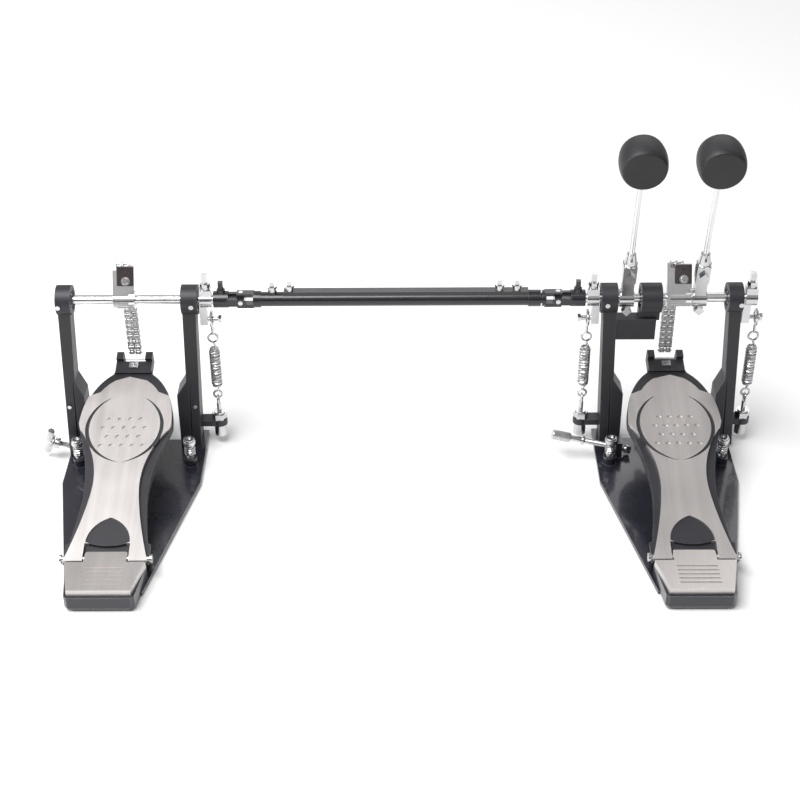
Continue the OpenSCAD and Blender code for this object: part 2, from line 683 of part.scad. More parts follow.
n_heel_plate_slave();  // heel_plate_slave
n_hinge_pin_slave();  // hinge_pin_slave
n_post_inner_slave();  // post_inner_slave
n_post_outer_slave();  // post_outer_slave
n_bearings_slave();  // bearings_slave
n_hardware_slave();  // hardware_slave
n_board_frame_slave();  // board_frame_slave
n_board_plate_slave();  // board_plate_slave
n_toe_clamp_slave();  // toe_clamp_slave
n_axle_slave();  // axle_slave
n_cam_slave();  // cam_slave
n_chain_wrap_slave();  // chain_wrap_slave
n_lever_slave();  // lever_slave
n_chain_run_slave();  // chain_run_slave
n_spring_slave();  // spring_slave
n_stirrup_slave();  // stirrup_slave
n_yoke_slave();  // yoke_slave
n_side_screw();  // side_screw
n_spur_slave_in();  // spur_slave_in
n_spur_slave_out();  // spur_slave_out
n_drive_tube();  // drive_tube
n_drive_rod();  // drive_rod
n_tube_screws();  // tube_screws
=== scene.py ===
# %% [markdown]
# A double bass drum pedal, dressed for its portrait. The imported frame holds
# every hard part in its real place. The cells below give each part its finish,
# and rebuild what a solid model can only stand in for: coil springs,
# roller chains, rounded beaters and knurled grips.

# %% Load the frame
import json
import math

import bpy
from mathutils import Matrix, Quaternion, Vector


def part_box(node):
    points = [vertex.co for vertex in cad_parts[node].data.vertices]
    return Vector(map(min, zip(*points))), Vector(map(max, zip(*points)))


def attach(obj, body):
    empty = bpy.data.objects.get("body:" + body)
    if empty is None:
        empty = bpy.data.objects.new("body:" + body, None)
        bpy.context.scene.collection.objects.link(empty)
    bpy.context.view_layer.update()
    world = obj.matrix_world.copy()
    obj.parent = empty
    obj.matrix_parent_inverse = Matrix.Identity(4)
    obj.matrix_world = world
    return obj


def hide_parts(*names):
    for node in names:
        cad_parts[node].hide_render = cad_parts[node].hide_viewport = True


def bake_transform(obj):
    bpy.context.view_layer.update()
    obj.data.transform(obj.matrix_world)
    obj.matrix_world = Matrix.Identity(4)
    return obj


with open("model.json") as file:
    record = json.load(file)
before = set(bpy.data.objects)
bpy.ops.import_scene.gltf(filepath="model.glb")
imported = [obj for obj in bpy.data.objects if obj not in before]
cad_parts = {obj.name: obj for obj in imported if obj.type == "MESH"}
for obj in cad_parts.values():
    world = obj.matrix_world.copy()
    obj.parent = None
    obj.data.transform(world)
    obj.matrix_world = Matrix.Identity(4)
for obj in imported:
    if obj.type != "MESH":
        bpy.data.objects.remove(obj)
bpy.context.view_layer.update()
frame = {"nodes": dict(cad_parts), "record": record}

nodes = frame["nodes"]

# %% [markdown]
# A finish is a small sum of noises. Written as nodes it is hard to read, so one
# class wraps a shader socket and lets ordinary arithmetic lay the nodes down.


# %% Sockets that add up
class Sock:
    """One output of a shader node; sums and products add Math nodes."""

    def __init__(self, tree, out):
        self.tree, self.out = tree, out

    def put(self, target, value):
        if isinstance(value, Sock):
            self.tree.links.new(value.out, target)
        else:
            target.default_value = value

    def node(self, kind, settings=None, out=0, **sockets):
        made = self.tree.nodes.new(kind)
        for name, value in (settings or {}).items():
            if name == "stops":
                ramp = made.color_ramp
                for i, (at, colour) in enumerate(value):
                    stop = ramp.elements[i] if i < 2 else ramp.elements.new(at)
                    stop.position, stop.color = at, (*colour, 1.0)
            else:
                setattr(made, name, value)
        for name, value in sockets.items():
            key = int(name[1:]) if name[0] == "i" and name[1:].isdigit() else name
            self.put(made.inputs[key], value)
        return Sock(self.tree, made.outputs[out])

    def math(self, how, a, b=0.0, c=0.0):
        return self.node("ShaderNodeMath", {"operation": how}, i0=a, i1=b, i2=c)

    def __add__(self, other):
        return self.math("ADD", self, other)

    def __sub__(self, other):
        return self.math("SUBTRACT", self, other)

    def __rsub__(self, other):
        return self.math("SUBTRACT", other, self)

    def __mul__(self, other):
        return self.math("MULTIPLY", self, other)

    __radd__, __rmul__ = __add__, __mul__

    def clamp(self):
        return self.math("MINIMUM", self.math("MAXIMUM", self, 0.0), 1.0)

    def mix(self, low, high):
        """low where this socket is 0, high where it is 1, for colours."""
        low, high = [(*c, 1.0) if isinstance(c, tuple) else c for c in (low, high)]
        return self.node("ShaderNodeMix", {"data_type": "RGBA"}, out=2,
                         i0=self, i6=low, i7=high)


print("socket maths ready")


# %% [markdown]
# Every finish starts from the same three readings of a surface: where a point
# lies on the part, how coarse and fine noise run over it, and how close it is
# Wear and painted edge highlights both come from those readings.

# %% A blank finish
def finish_of(name, colour, rough, metal=0.0, coat=0.0, spec=0.5):
    made = bpy.data.materials.new(name)
    made.use_nodes = True
    tree = made.node_tree
    shader = tree.nodes["Principled BSDF"]
    shader.inputs["Base Color"].default_value = (*colour, 1.0)
    shader.inputs["Roughness"].default_value = rough
    shader.inputs["Metallic"].default_value = metal
    shader.inputs["Coat Weight"].default_value = coat
    shader.inputs["Coat Roughness"].default_value = 0.08
    shader.inputs["Specular IOR Level"].default_value = spec
    place = tree.nodes.new("ShaderNodeTexCoord")
    return made, shader, Sock(tree, place.outputs["Object"])


def noise(at, scale, detail=3.0, stretch=None, rough=0.5):
    if stretch:
        at = at.node("ShaderNodeVectorMath", {"operation": "MULTIPLY"}, i0=at, i1=stretch)
    return at.node("ShaderNodeTexNoise", Vector=at, Scale=scale, Detail=detail,
                   Roughness=rough)


def wear_and_glint_edges(at, reach=0.0012):
    """1 on sharp outer edges, 0 on flats: the turn between two normals."""
    soft = at.node("ShaderNodeBevel", {"samples": 4}, Radius=reach)
    hard = at.node("ShaderNodeNewGeometry", out=1)
    turn = at.node("ShaderNodeVectorMath", {"operation": "DOT_PRODUCT"}, out=1,
                   i0=soft, i1=hard)
    return ((1.0 - turn) * 9.0).clamp()


def relief(at, height, strength, depth):
    return at.node("ShaderNodeBump", Height=height, Strength=strength, Distance=depth)


print("blank finish ready")


# %% [markdown]
# Cast and pressed parts of a pedal are powder coated. Powder melts into a skin
# with a faint orange peel. Its edges are painted lighter: wear and a painted sheen.

# %% Powder coats and anodising
def coated(name, colour, rough, peel, coat, edge=(0.16, 0.16, 0.17)):
    made, shader, at = finish_of(name, colour, rough, 0.0, coat)
    cloud = noise(at, 38.0, 4.0)
    fine = noise(at, 1500.0, 2.0)
    # edges painted lighter in noise patches: partly rubbed wear, partly a painted edge sheen
    wear_and_edge_sheen = wear_and_glint_edges(at) * noise(at, 160.0).clamp()
    tone = (cloud * 0.8 + 0.1).clamp().mix(
        tuple(c * 0.78 for c in colour), tuple(c * 1.35 + 0.004 for c in colour))
    at.put(shader.inputs["Base Color"], (wear_and_edge_sheen * 0.55).mix(tone, edge))
    at.put(shader.inputs["Roughness"], (cloud - 0.5) * 0.16 + fine * 0.06 + rough)
    at.put(shader.inputs["Normal"], relief(at, fine, peel, 0.00012))
    return made


cast_black = coated("satin_powder_black", (0.017, 0.017, 0.022), 0.44, 0.35, 0.04)
base_black = coated("gloss_base_black", (0.012, 0.012, 0.020), 0.24, 0.16, 0.5,
                    (0.45, 0.45, 0.46))
tube_black = coated("black_anodised", (0.010, 0.010, 0.014), 0.26, 0.12, 0.3)
print("coats", cast_black.name, base_black.name, tube_black.name)


# %% [markdown]
# The footboards and heel plates are brushed along their length. A brushed face
# is thousands of shallow parallel scratches, so one noise is stretched a
# hundredfold along the brush and drives colour, roughness and relief together.

# %% Brushed plate
def brushed(name, colour, rough, along, depth=0.35):
    made, shader, at = finish_of(name, colour, rough, 0.92)
    turned = at.node("ShaderNodeVectorRotate", {"rotation_type": "X_AXIS"},
                     Vector=at, Angle=math.radians(-14.5))
    hair = noise(turned, 900.0, 4.0, along, 0.6)
    band = noise(turned, 90.0, 3.0, along)
    cloud = noise(at, 22.0, 3.0)
    tone = (hair * 0.55 + band * 0.35 + cloud * 0.25 - 0.08).clamp().mix(
        tuple(c * 0.80 for c in colour), tuple(min(1.0, c * 1.16) for c in colour))
    at.put(shader.inputs["Base Color"], tone)
    at.put(shader.inputs["Roughness"], (band - 0.5) * 0.14 + (cloud - 0.5) * 0.12 + rough)
    at.put(shader.inputs["Normal"], relief(at, hair, depth, 0.00006))
    return made


plate_brush = brushed("brushed_nickel_plate", (0.66, 0.625, 0.612), 0.40,
                      (1.0, 0.012, 0.2))
spring_steel = brushed("drawn_spring_wire", (0.70, 0.70, 0.71), 0.24, (1.0, 1.0, 0.05))
print("brushed", plate_brush.name, spring_steel.name)


# %% [markdown]
# Plated hardware is bright but never perfect: it carries faint swirl marks and
# a slightly duller film, and its tone darkens at random in broad clouds.

# %% Bright plate, polished shaft and chain steel
def plated(name, colour, rough, swirl=0.1, corner=0.35):
    made, shader, at = finish_of(name, colour, rough, 1.0)
    cloud = noise(at, 55.0, 5.0)
    fine = noise(at, 2200.0, 2.0)
    # painted highlight: every sharp edge is mixed towards a brighter colour, a painted edge glint
    edge = wear_and_glint_edges(at, 0.0009)
    tone = (cloud * 1.2 - 0.1).clamp().mix(tuple(c * (1 - corner) for c in colour), colour)
    painted_glint_colour = tuple(min(1.0, c * 1.12) for c in colour)
    at.put(shader.inputs["Base Color"], (edge * 0.6).mix(tone, painted_glint_colour))
    at.put(shader.inputs["Roughness"], cloud * 0.16 + fine * 0.05 + rough)
    at.put(shader.inputs["Normal"], relief(at, fine, swirl, 0.00005))
    return made


chrome = plated("bright_plate", (0.74, 0.74, 0.75), 0.10)
shaft_steel = plated("polished_shaft", (0.84, 0.84, 0.85), 0.13, 0.06, 0.12)
chain_steel = plated("chain_plates", (0.76, 0.76, 0.77), 0.18, 0.12, 0.4)
dark_steel = plated("dark_steel", (0.11, 0.11, 0.12), 0.28, 0.15, 0.3)
cam_face = plated("smoked_cam_face", (0.20, 0.17, 0.17), 0.08, 0.05, 0.5)
print("plated finishes ready")


# %% [markdown]
# A beater head is moulded black plastic, matt and faintly grained; the pads
# under the base are plain rubber, greyer and rougher.

# %% Beater plastic and rubber
def moulded(name, colour, rough, grain, size):
    made, shader, at = finish_of(name, colour, rough, 0.0, 0.0, 0.4)
    cloud = noise(at, 45.0, 4.0)
    pores = noise(at, size, 3.0)
    tone = (cloud * 0.9).clamp().mix(tuple(c * 0.7 for c in colour),
                                     tuple(c * 1.7 for c in colour))
    at.put(shader.inputs["Base Color"], tone)
    at.put(shader.inputs["Roughness"], (cloud - 0.5) * 0.2 + rough)
    at.put(shader.inputs["Normal"], relief(at, pores, grain, 0.0002))
    return made


beater_black = moulded("beater_plastic", (0.020, 0.020, 0.022), 0.46, 0.22, 900.0)
pad_rubber = moulded("pad_rubber", (0.024, 0.024, 0.024), 0.75, 0.5, 700.0)
print("moulded finishes ready")

# %% [markdown]
# Most parts keep the shape they came with. Each takes the finish of its slot in
# the record, and a small bevel so that its edges catch the light.

# %% Finishes on the parts that keep their shape
by_slot = {"rubber_pad": pad_rubber, "gloss_black": base_black,
           "black_casting": cast_black, "brushed_plate": plate_brush,
           "dark_bearing": dark_steel, "black_linkage": tube_black,
           "beater_black": beater_black, "chain_steel": chain_steel,
           "polished_steel": shaft_steel, "chrome_hardware": chrome}
slot_of = {s["node"]: s["material_slot"] for s in frame["record"]["subparts"]}


def dress(piece, finish):
    piece.data.materials.clear()
    piece.data.materials.append(finish)


def ease(piece, width=0.0004, angle=32):
    """Breaks the sharp edges, as tumbling or coating does."""
    turn = piece.modifiers.new("ease", "BEVEL")
    turn.width, turn.segments = width, 2
    turn.limit_method, turn.angle_limit = "ANGLE", math.radians(angle)
    turn.harden_normals = False


edge_of = {"gloss_black": 0.0008, "brushed_plate": 0.0006}
for name, part in nodes.items():
    dress(part, by_slot[slot_of[name]])
    for face in part.data.polygons:
        face.use_smooth = True
    part.data.set_sharp_from_angle(angle=math.radians(30))
    ease(part, edge_of.get(slot_of[name], 0.0004))
print("dressed", len(nodes), "parts")


# %% [markdown]
# Coil springs, threads and grips are sweeps: a small ring is carried along a
# path and the rings are joined. One sweep serves all of them. It is built in
# mesh code, not as a curve, because a blended piece has to be a mesh.

# %% A sweep along a path
def to_piece(name, verts, faces, finish, slot, smooth=True):
    mesh = bpy.data.meshes.new(name)
    mesh.from_pydata(verts, [], faces)
    mesh.validate()
    for face in mesh.polygons:
        face.use_smooth = smooth
    if smooth:
        mesh.set_sharp_from_angle(angle=math.radians(38))
    piece = bpy.data.objects.new(name, mesh)
    bpy.context.collection.objects.link(piece)
    dress(piece, finish)
    return piece


def sweep(path, radius, sides=8, closed=False):
    """Vertices and faces of a round wire along the points of a path."""
    n = len(path)
    verts, faces, up = [], [], None
    for i, here in enumerate(path):
        ahead = path[(i + 1) % n] if closed or i < n - 1 else here
        behind = path[i - 1] if closed or i > 0 else here
        along = (ahead - behind).normalized()
        if up is None:
            up = along.orthogonal().normalized()
        up = (up - along * up.dot(along)).normalized()
        side = along.cross(up)
        r = radius(i / (n - 1)) if callable(radius) else radius
        for k in range(sides):
            a = 2 * math.pi * k / sides
            verts.append(here + (up * math.cos(a) + side * math.sin(a)) * r)
    turns = n if closed else n - 1
    for i in range(turns):
        for k in range(sides):
            a, b = i * sides + k, i * sides + (k + 1) % sides
            c, d = ((i + 1) % n) * sides + (k + 1) % sides, ((i + 1) % n) * sides + k
            faces.append((a, b, c, d))
    if not closed:
        faces.append(tuple(reversed(range(sides))))
        faces.append(tuple(range((n - 1) * sides, n * sides)))
    return verts, faces


def join(parts):
    """Several (vertices, faces) as one."""
    verts, faces = [], []
    for v, f in parts:
        base = len(verts)
        verts.extend(v)
        faces.extend(tuple(i + base for i in face) for face in f)
    return verts, faces


def lathe(profile, sides=32):
    """(vertices, faces) of a closed profile of (radius, height) turned round Z."""
    verts = [Vector((r * math.cos(a), r * math.sin(a), z)) for r, z in profile
             for a in (2 * math.pi * k / sides for k in range(sides))]
    faces = []
    for i in range(len(profile) - 1):
        for k in range(sides):
            m = (k + 1) % sides
            faces.append((i * sides + k, i * sides + m, (i + 1) * sides + m,
                          (i + 1) * sides + k))
    faces.append(tuple(reversed(range(sides))))
    faces.append(tuple(range((len(profile) - 1) * sides, len(profile) * sides)))
    return verts, faces


def placed(part, move):
    return [move @ v for v in part[0]], part[1]


print("sweep and lathe ready")

# %% [markdown]
# The pieces below stand on the axles and chains, so their places are read from
# the boxes of the frame's own parts.

# %% Places taken from the frame
def middle(node, axis):
    low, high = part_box(node)
    return (low[axis] + high[axis]) / 2


axle_y, axle_z = middle("axle_main", 1), middle("axle_main", 2)
chain_x = {unit: middle("chain_run_" + unit, 0) for unit in ("main", "slave")}
print("axle", round(axle_y, 4), round(axle_z, 4), {k: round(v, 4) for k, v in chain_x.items()})


# %% [markdown]
# A pedal's return spring is close wound, with a half loop bent up at each end.
# The coil stretches when the axle turns; here it is one mesh baked in place,
# and only the stirrup hangs on a moving body.

# %% Return springs
def coil_path(turns, radius, low, high, per_turn=18):
    count = int(turns * per_turn)
    made = []
    for i in range(count + 1):
        t = i / count
        a = 2 * math.pi * turns * t
        # the last turns close in at both ends
        near = min(t, 1 - t) * turns
        r = radius * (0.62 + 0.38 * min(1.0, near / 1.1))
        made.append(Vector((r * math.cos(a), r * math.sin(a), low + (high - low) * t)))
    return made


def ring_path(centre, radius, across, gap=0.0, count=30):
    """A ring in the plane of across and Z, open by gap radians at its foot."""
    made = []
    for i in range(count + 1):
        a = -math.pi / 2 + gap / 2 + (2 * math.pi - gap) * i / count
        made.append(centre + across * (radius * math.cos(a)) + Vector((0, 0, radius * math.sin(a))))
    return made


X, Y, Z = Vector((1, 0, 0)), Vector((0, 1, 0)), Vector((0, 0, 1))
for name in ("main", "link", "slave"):
    low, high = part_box("spring_" + name)
    x, y = (low[0] + high[0]) / 2, (low[1] + high[1]) / 2
    foot, head = low[2] + 0.0160, high[2] - 0.0004
    at = Matrix.Translation((x, y, 0))
    coil = sweep(coil_path(15, 0.0049, foot, head), 0.00130, 8)
    foot_ring = sweep(ring_path(Vector((0, 0, low[2] + 0.0056)), 0.0044, X, 0.0), 0.0012, 8)
    neck = sweep([Vector((0, 0, low[2] + 0.0098)), Vector((0.0012, 0, low[2] + 0.0130)),
                  Vector((0.0030, 0, foot))], 0.0012, 8)
    spring = to_piece("coil_" + name, *placed(join([coil, foot_ring, neck]), at),
                      spring_steel, "chrome_hardware")
    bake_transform(spring)
    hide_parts("spring_" + name)
    # the stirrup: ring, twisted shank and the long loop over the lever's pin
    low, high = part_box("stirrup_" + name)
    top = high[2] - 0.0095
    ring_z = low[2] + 0.0234
    loop = sweep(ring_path(Vector((0, 0, top)), 0.0080, Y), 0.0014, 8)
    eye = sweep(ring_path(Vector((0, 0, ring_z)), 0.0050, X), 0.0013, 8)
    shank = sweep([Vector((0, 0, ring_z + 0.0050)), Vector((0, 0, top - 0.0080))], 0.0015, 10)
    hook = sweep([Vector((0.0030, 0, low[2] + 0.0105)), Vector((0.0012, 0, low[2] + 0.0150)),
                  Vector((0, 0, ring_z - 0.0050))], 0.0013, 8)
    stirrup = to_piece("hook_" + name, *placed(join([loop, eye, shank, hook]), at),
                       chrome, "chrome_hardware")
    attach(stirrup, name + "_stirrup")
    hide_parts("stirrup_" + name)
    print("spring", name, len(spring.data.vertices), "points")


# %% [markdown]
# Each footboard hangs on a double chain: two rows of rollers held by three rows
# of waisted plates. Links on the cam turn with it, links below hang straight.
# A link is drawn once and repeated along the path of the chain.

# %% Roller chain
link_pitch = 0.0068
chain_r = 0.0360


def plate(thick, half, waist=0.0021, tall=0.0030, steps=10):
    """A figure-eight link plate in the Y Z plane, from one pin to the next."""
    outline = []
    for i in range(steps + 1):
        a = -math.pi / 2 + math.pi * i / steps
        outline.append((tall * math.sin(a), half + tall * math.cos(a)))
    outline.append((waist, 0.0))
    for i in range(steps + 1):
        a = math.pi / 2 + math.pi * i / steps
        outline.append((tall * math.sin(a), -half + tall * math.cos(a)))
    outline.append((-waist, 0.0))
    n = len(outline)
    verts = [Vector((s * thick / 2, y, z)) for s in (-1, 1) for y, z in outline]
    faces = [tuple(reversed(range(n))), tuple(range(n, 2 * n))]
    faces += [(i, (i + 1) % n, n + (i + 1) % n, n + i) for i in range(n)]
    return verts, faces


def chain_link(here, there, wide):
    """One link between two pins; wide says whether its plates are the outer ones."""
    mid, run = (here + there) / 2, there - here
    turn = Matrix.Rotation(math.atan2(-run.y, run.z), 4, "X")
    where = Matrix.Translation(mid) @ turn
    rows = (-0.0066, -0.0004, 0.0004, 0.0066) if wide else (-0.0055, -0.0014, 0.0014, 0.0055)
    parts = [placed(plate(0.0009, run.length / 2), where @ Matrix.Translation((x, 0, 0)))
             for x in rows]
    across = Matrix.Rotation(math.pi / 2, 4, "Y")
    pin = lathe([(0.0013, -0.0075), (0.0016, -0.0072), (0.0016, 0.0072), (0.0013, 0.0075)], 12)
    parts.append(placed(pin, Matrix.Translation(here) @ across))
    for x in (-0.0035, 0.0035):
        roller = lathe([(0.0024, -0.0014), (0.0027, -0.0011), (0.0027, 0.0011),
                        (0.0024, 0.0014)], 14)
        parts.append(placed(roller, Matrix.Translation(here + X * x) @ across))
    return join(parts)


for unit, x in chain_x.items():
    hub = Vector((x, axle_y, axle_z))
    wrapped = []
    step = link_pitch / chain_r
    turn = math.pi / 2
    while turn > math.radians(27):
        wrapped.append(hub + Y * chain_r * math.sin(turn) + Z * chain_r * math.cos(turn))
        turn -= step
    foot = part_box("chain_run_" + unit)[0][2] - 0.0005
    hanging, drop = [hub + Y * chain_r], 0.0
    while axle_z - drop - link_pitch > foot:
        drop += link_pitch
        hanging.append(hub + Y * chain_r - Z * drop)
    on_cam = [chain_link(a, b, i % 2 == 0) for i, (a, b) in enumerate(zip(wrapped, wrapped[1:]))]
    below = [chain_link(b, a, i % 2 == 1) for i, (a, b) in enumerate(zip(hanging, hanging[1:]))]
    cam_chain = to_piece("chain_on_cam_" + unit, *join(on_cam), chain_steel, "chain_steel")
    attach(cam_chain, unit + "_axle")
    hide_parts("chain_wrap_" + unit)
    run = to_piece("chain_below_" + unit, *join(below), chain_steel, "chain_steel")
    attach(run, unit + "_chain")
    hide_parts("chain_run_" + unit)
    print("chain", unit, len(on_cam), "links on the cam,", len(below), "below")


# %% [markdown]
# The cam ends towards the drummer in a smoked, polished face. A bolt with a
# washer holds the last link there. Above it a thin dark disc paints the shade
# of the empty hole that sets the stroke.

# %% Cam faces
def slab(wide, tall, thick, corner=0.0012, steps=5):
    """A plate with round corners in X Z, its front at y = -thick."""
    outline = []
    for k, (sx, sz) in enumerate(((1, 1), (-1, 1), (-1, -1), (1, -1))):
        for i in range(steps + 1):
            a = math.pi / 2 * (k + i / steps)
            outline.append((sx * (wide / 2 - corner) + corner * math.cos(a),
                            sz * (tall / 2 - corner) + corner * math.sin(a)))
    n = len(outline)
    lip = 0.0003
    verts = [Vector((x, 0, z)) for x, z in outline]
    verts += [Vector((x, -thick + lip, z)) for x, z in outline]
    verts += [Vector((x * (1 - lip * 2 / wide), -thick, z * (1 - lip * 2 / tall))) for x, z in outline]
    faces = [tuple(range(n)), tuple(reversed(range(2 * n, 3 * n)))]
    for r in (0, n):
        faces += [(r + i, r + n + i, r + n + (i + 1) % n, r + (i + 1) % n) for i in range(n)]
    return verts, faces


forward = Matrix.Rotation(math.pi / 2, 4, "X")
for unit in ("main", "slave"):
    low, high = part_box("cam_" + unit)
    # the face is the half of the cam away from its flange
    x = high[0] - 0.0090 if unit == "main" else (low[0] + high[0]) / 2 + 0.0020
    block = Matrix.Translation((x, axle_y, axle_z)) @ Matrix.Rotation(math.radians(-30), 4, "X")
    front = block @ Matrix.Translation((0, -0.0090, 0.0240))
    plate_piece = to_piece("cam_face_" + unit, *placed(slab(0.0176, 0.0200, 0.0007), front),
                           cam_face, "polished_steel", False)
    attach(plate_piece, unit + "_axle")
    turned = lathe([(0.0002, 0.0), (0.0046, 0.0), (0.0046, 0.0006), (0.0034, 0.0007),
                    (0.0034, 0.0030), (0.0028, 0.0036), (0.0002, 0.0036)], 28)
    bolt = placed(turned, front @ Matrix.Translation((0.0004, -0.0007, -0.0052)) @ forward)
    bolt_piece = to_piece("cam_bolt_" + unit, *bolt, chrome, "chrome_hardware")
    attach(bolt_piece, unit + "_axle")
    # painted shade: a thin dark rubber disc stands for the shade inside the empty stroke hole
    hole = placed(lathe([(0.0002, 0.0), (0.0016, 0.0), (0.0016, 0.00015), (0.0002, 0.00015)], 24),
                  front @ Matrix.Translation((0.0002, -0.0007, 0.0050)) @ forward)
    hole_shade_disc = to_piece("cam_hole_shade_disc_" + unit, *hole, pad_rubber, "rubber_pad")
    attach(hole_shade_disc, unit + "_axle")
print("cam faces", 2)


# %% [markdown]
# The beaters are barrels of hard black plastic: crowned sides, a flat striking
# face towards the drum, a slightly smaller flat face towards the drummer, and
# a soft round where they meet.

# %% Beater heads
def rounded(profile, turn=0.0016, steps=4):
    """Profile with each inner corner cut into a short round."""
    made = [profile[0]]
    for before, here, after in zip(profile, profile[1:], profile[2:]):
        p, q, r = (Vector(v) for v in (before, here, after))
        reach = min(turn, (p - q).length * 0.45, (r - q).length * 0.45)
        a, b = q + (p - q).normalized() * reach, q + (r - q).normalized() * reach
        for i in range(steps + 1):
            t = i / steps
            made.append(tuple(a * (1 - t) ** 2 + q * 2 * t * (1 - t) + b * t * t))
    made.append(profile[-1])
    return made


lean = math.radians(10)
beater_reach = 0.173
barrel = rounded([(0.0004, -0.0170), (0.0150, -0.0170), (0.0152, -0.0166),
                  (0.0208, -0.0166), (0.0224, -0.0120), (0.0237, -0.0050),
                  (0.0240, 0.0010), (0.0238, 0.0060), (0.0230, 0.0120),
                  (0.0212, 0.0170), (0.0004, 0.0170)], 0.0020)
for name in ("main", "link"):
    x = middle("beater_rod_" + name, 0)
    stem = Matrix.Translation((x, axle_y, axle_z)) @ Matrix.Rotation(lean, 4, "X")
    where = stem @ Matrix.Translation((0, 0, beater_reach)) @ Matrix.Rotation(math.pi / 2, 4, "X")
    head = to_piece("beater_" + name, *placed(lathe(barrel, 72), where),
                    beater_black, "beater_black")
    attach(head, name + "_beater")
    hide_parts("beater_head_" + name)
    # a pressed collar where the rod enters the head
    ferrule = lathe(rounded([(0.0033, -0.0262), (0.0052, -0.0262), (0.0058, -0.0238),
                             (0.0058, -0.0225), (0.0033, -0.0225)], 0.0004), 28)
    ring = to_piece("ferrule_" + name, *placed(ferrule, stem @ Matrix.Translation(
        (0, 0, beater_reach))), chrome, "chrome_hardware")
    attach(ring, name + "_beater")
    print("beater", name, round(x, 4))


# %% [markdown]
# Grips are knurled: two families of helical grooves cross and leave diamonds.
# The grip is a turned grid whose radius dips wherever a groove passes.

# %% Knurled grips
def knurl(radius, length, count=26, dip=0.00045, rings=30, sides=104):
    helix = 2600  # radians of turn per metre of grip
    verts, faces = [], []
    for i in range(rings + 1):
        z = length * (i / rings - 0.5)
        edge = min(1.0, min(i, rings - i) / 2.0)
        for k in range(sides):
            a = 2 * math.pi * k / sides
            one = abs(math.sin((a * count + z * helix) / 2))
            two = abs(math.sin((a * count - z * helix) / 2))
            r = radius - dip * (1 - min(one, two)) * edge - (1 - edge) * 0.0006
            verts.append(Vector((r * math.cos(a), r * math.sin(a), z)))
    for i in range(rings):
        for k in range(sides):
            m = (k + 1) % sides
            faces.append((i * sides + k, i * sides + m, (i + 1) * sides + m, (i + 1) * sides + k))
    faces.append(tuple(reversed(range(sides))))
    faces.append(tuple(range(rings * sides, (rings + 1) * sides)))
    return verts, faces


def stepped(parts, turn=0.0005, sides=32):
    """A turned part from (radius, from, to) steps along Z."""
    profile = [(0.0002, parts[0][1])]
    for r, a, b in parts:
        profile += [(r, a), (r, b)]
    profile.append((0.0002, parts[-1][2]))
    return lathe(rounded(profile, turn, 3), sides)


def thread(radius, low_z, high_z, pitch=0.0012, depth=0.0003, sides=20):
    """Rings of a screw thread; fine enough that the helix angle can't be seen."""
    profile, z, out = [(0.0002, low_z)], low_z, True
    while z < high_z:
        profile.append((radius if out else radius - depth, z))
        z, out = z + pitch / 2, not out
    profile.append((0.0002, high_z))
    return lathe(profile, sides)


joints = {j["name"]: j for j in frame["record"]["behaviour"]["joints"]}


def on_axis(joint, start, turn=1):
    """A frame whose Z runs along the joint's axis, from start metres past its point."""
    axis = Vector(joints[joint]["axis"]).normalized() * turn
    place = Matrix.Translation(Vector(joints[joint]["pos_m"]) + axis * start)
    return place @ axis.to_track_quat("Z", "Y").to_matrix().to_4x4()


long = 0.0880
screw = join([thread(0.0030, 0.0050, 0.0560), stepped([(0.0030, 0.054, long - 0.0196)]),
              stepped([(0.0050, 0.0525, 0.0550)]), stepped([(0.0045, 0.0, 0.0060)])])
grip = placed(knurl(0.0054, 0.0200), Matrix.Translation((0, 0, long - 0.0100)))
side = to_piece("jaw_screw_and_grip",
                *placed(join([screw, grip]), on_axis("jaw_screw_turn", -0.0160, -1)),
                chrome, "chrome_hardware")
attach(side, "jaw_screw")
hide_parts("hoop_screw")
print("jaw screw", long)

stem = join([thread(0.0030, 0.0, 0.0280), stepped([(0.0030, 0.0270, 0.0380)]),
             stepped([(0.0060, 0.0260, 0.0315)]), stepped([(0.0080, 0.0325, 0.0340)])])
handle = join([placed(knurl(0.0038, 0.0150), Matrix.Translation((0, 0, s * 0.0095)))
               for s in (-1, 1)] + [stepped([(0.0031, -0.0040, 0.0040)])])
bar = (Matrix.Translation((0, 0, 0.0377)) @ Matrix.Rotation(math.radians(-12), 4, "Z")
       @ Matrix.Rotation(-math.pi / 2, 4, "X") @ Matrix.Translation((0, 0, 0.0008)))
t_screw = to_piece("anchor_screw", *placed(join([stem, placed(handle, bar)]),
                                           on_axis("side_screw_turn", -0.0080)),
                   chrome, "chrome_hardware")
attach(t_screw, "slave_screw")
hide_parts("side_screw")
print("anchor screw", round(middle("side_screw", 0), 4))


# %% [markdown]
# The spurs are pointed screws that bite into the carpet. A small spring under
# the head keeps each from rattling loose, and the head has a screwdriver slot.

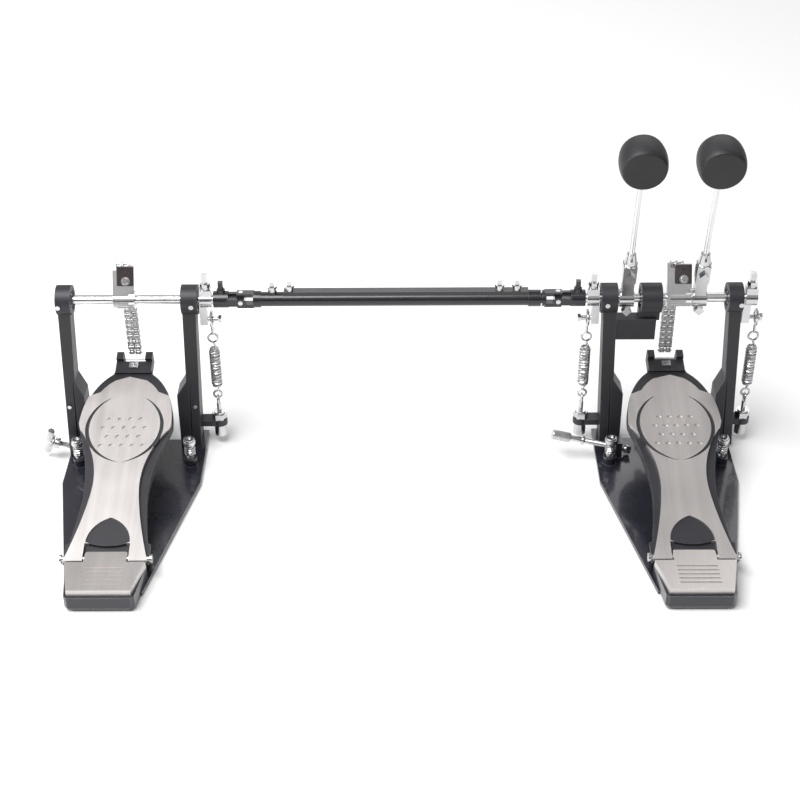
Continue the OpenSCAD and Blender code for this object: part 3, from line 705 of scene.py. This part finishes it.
# %% Spurs with their springs
spur_bodies = {"spur_main_in": "spur_1", "spur_main_out": "spur_2",
               "spur_slave_in": "spur_3", "spur_slave_out": "spur_4"}
for name, body in spur_bodies.items():
    low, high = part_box(name)
    at = Matrix.Translation(((low[0] + high[0]) / 2, (low[1] + high[1]) / 2, low[2]))
    tall = high[2] - low[2]
    point = lathe(rounded([(0.0005, 0.0), (0.0030, 0.0058), (0.0030, 0.0072), (0.0002, 0.0074)],
                          0.0003), 24)
    shank = thread(0.0040, 0.0062, 0.0300, 0.0013)
    cap = placed(knurl(0.0066, 0.0058, 30, 0.0004, 12, 90), Matrix.Translation((0, 0, tall - 0.0044)))
    crown = lathe(rounded([(0.0056, tall - 0.0017), (0.0056, tall), (0.0026, tall),
                           (0.0022, tall - 0.0018), (0.0002, tall - 0.0018)], 0.0004), 28)
    wire = sweep(coil_path(5.5, 0.0050, 0.0140, tall - 0.0078), 0.0009, 8)
    spur = to_piece(name + "_screw", *placed(join([point, shank, cap, crown, wire]), at),
                    chrome, "chrome_hardware")
    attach(spur, body)
    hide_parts(name)
print("spurs", len(spur_bodies))


# %% [markdown]
# The studio is three large soft lamps over a white floor, with two black cards
# out of view, so that every plated part has something pale to reflect and
# something dark between.

# %% Floor, lamps and camera
def stage_finish(name, grey, rough):
    """A plain grey finish for what stands around the pedal; returns its shader too."""
    made = bpy.data.materials.new(name)
    made.use_nodes = True
    shader = made.node_tree.nodes["Principled BSDF"]
    shader.inputs["Base Color"].default_value = (grey, grey, grey, 1.0)
    shader.inputs["Roughness"].default_value = rough
    return made, shader


white_floor, floor_shader = stage_finish("white_floor", 0.93, 0.85)
floor_shader.inputs["Specular IOR Level"].default_value = 0.1
card_black, _ = stage_finish("card_black", 0.01, 0.9)


floor_mesh = bpy.data.meshes.new("floor")
floor_mesh.from_pydata([(-9, -9, 0), (9, -9, 0), (9, 9, 0), (-9, 9, 0)], [], [(0, 1, 2, 3)])
floor = bpy.data.objects.new("floor", floor_mesh)
bpy.context.collection.objects.link(floor)
dress(floor, white_floor)


def lamp(name, spot, aim, size, power):
    data = bpy.data.lights.new(name, "AREA")
    data.shape, data.size, data.size_y, data.energy = "RECTANGLE", size[0], size[1], power
    made = bpy.data.objects.new(name, data)
    made.location = spot
    made.rotation_mode = "QUATERNION"
    made.rotation_quaternion = (Vector(aim) - Vector(spot)).to_track_quat("-Z", "Y")
    bpy.context.collection.objects.link(made)
    return made


lamp("top_lamp", (-0.9, -0.7, 2.7), (0, 0, 0), (2.6, 1.3), 92)
lamp("left_lamp", (-2.4, -0.2, 1.2), (0, 0.05, 0.12), (1.2, 1.2), 20)
lamp("back_lamp", (0.6, 2.5, 2.0), (0, 0.05, 0.15), (2.6, 0.8), 12)


def card(name, a, b, tall, low=0.02):
    """A black card on its edge: it gives bright metal something dark to mirror."""
    mesh = bpy.data.meshes.new(name)
    mesh.from_pydata([(*a, low), (*b, low), (*b, tall), (*a, tall)], [], [(0, 1, 2, 3)])
    made = bpy.data.objects.new(name, mesh)
    bpy.context.collection.objects.link(made)
    dress(made, card_black)


card("front_card", (-2.2, -2.3), (2.2, -2.3), 0.95)
card("right_card", (2.3, -1.2), (2.3, 1.2), 1.3)
world = bpy.data.worlds.new("studio")
world.use_nodes = True
world.node_tree.nodes["Background"].inputs["Color"].default_value = (1.0, 1.0, 1.0, 1.0)
world.node_tree.nodes["Background"].inputs["Strength"].default_value = 0.42
bpy.context.scene.world = world
bpy.context.scene.view_settings.view_transform = "Standard"

elevation, swing = math.radians(34.7), math.radians(-0.24)
camera_distance, camera_roll = 1.634, math.radians(0.355)
look = Vector((math.sin(swing) * math.cos(elevation), math.cos(swing) * math.cos(elevation),
               -math.sin(elevation)))
aim = Vector((0.0003, axle_y - 0.0630, axle_z - 0.0850))
camera_data = bpy.data.cameras.new("camera")
camera_data.lens, camera_data.sensor_width = 70.7, 36.0
camera = bpy.data.objects.new("camera", camera_data)
camera.location = aim - look * camera_distance
camera.rotation_mode = "QUATERNION"
roll = Quaternion(look, camera_roll)
camera.rotation_quaternion = roll @ look.to_track_quat("-Z", "Y")
bpy.context.collection.objects.link(camera)
bpy.context.scene.camera = camera
print("camera at", [round(v, 3) for v in camera.location])
